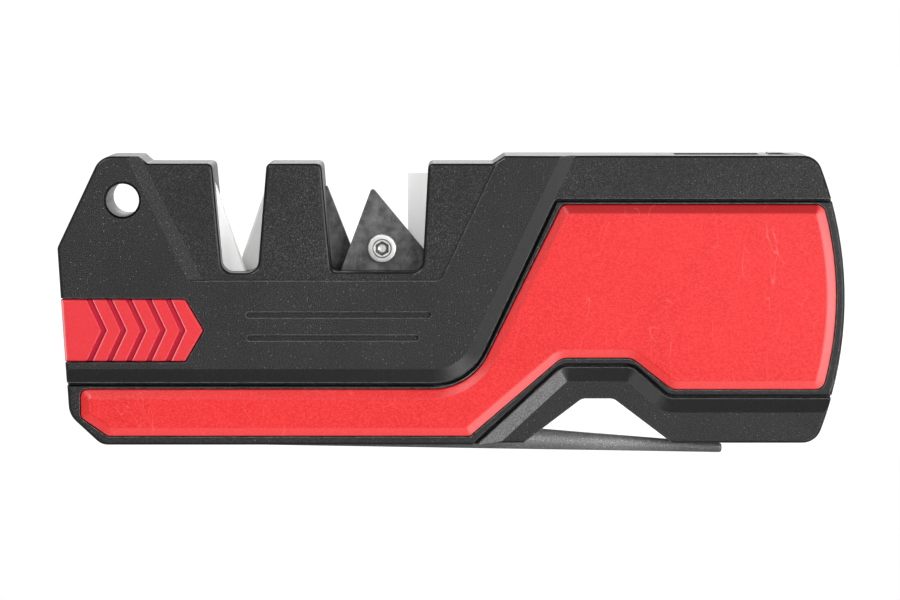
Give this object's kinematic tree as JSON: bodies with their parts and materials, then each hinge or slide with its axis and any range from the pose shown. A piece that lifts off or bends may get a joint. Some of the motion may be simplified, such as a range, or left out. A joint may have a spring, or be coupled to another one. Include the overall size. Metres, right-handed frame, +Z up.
{
  "type": "pull-through knife sharpener",
  "caption": "Pocket pull-through knife sharpener with crossed ceramic sticks, crossed carbide inserts, a fold-out diamond rod, a pull-out fire striker and a whistle.",
  "frame": {"origin": "under the middle of the body's length and thickness, at the height of the stowed diamond rod's lowest point", "axes": "+X along the body from the striker handle to the whistle end, +Y from the front face to the rear face, +Z up, the way the slots open"},
  "size_m": [0.12, 0.019, 0.0463],
  "materials": {
    "casing_plastic": "black moulded plastic with a fine spark texture",
    "frame_plastic": "black moulded plastic with a fine spark texture",
    "grip_red": "red soft-touch inlay with a fine leather-like grain",
    "handle_red": "red moulded plastic, matt",
    "ceramic_white": "white fine-grained ceramic, unglazed",
    "guide_white": "white ceramic, unglazed",
    "carbide_grey": "ground tungsten carbide, dark grey",
    "screw_steel": "turned stainless steel",
    "black_screw": "black oxide steel",
    "holder_steel": "stamped steel",
    "diamond_grit": "steel core plated with diamond grit",
    "hub_steel": "cast and tumbled steel",
    "washer_brass": "stamped brass",
    "striker_metal": "coated ferrocerium",
    "whistle_plastic": "black moulded plastic"
  },
  "bodies": {
    "body": {"front_casing": "casing_plastic", "rear_casing": "casing_plastic", "front_grip_frame": "frame_plastic", "rear_grip_frame": "frame_plastic", "front_grip_panel": "grip_red", "rear_grip_panel": "grip_red", "front_ceramic_stick": "ceramic_white", "rear_ceramic_stick": "ceramic_white", "front_carbide_insert": "carbide_grey", "rear_carbide_insert": "carbide_grey", "carbide_holder": "holder_steel", "carbide_screws": "screw_steel", "guide_block": "guide_white", "rod_washers": "washer_brass", "rod_pivot_screw": "black_screw", "casing_screws": "black_screw", "whistle_chamber": "whistle_plastic", "whistle_mouthpiece": "whistle_plastic"},
    "rod": {"diamond_rod": "diamond_grit", "rod_hub": "hub_steel"},
    "striker": {"striker_handle": "handle_red", "striker_rod": "striker_metal"}
  },
  "joints": [
    {"name": "rod_fold", "type": "hinge", "parent": "body", "child": "rod", "pos_m": [-0.0515, 0, 0.0052], "axis": [0, 1, 0], "range_deg": [0, 180]},
    {"name": "striker_pull", "type": "slide", "parent": "body", "child": "striker", "axis": [-1, 0, 0], "range_m": [0, 0.074]}
  ]
}
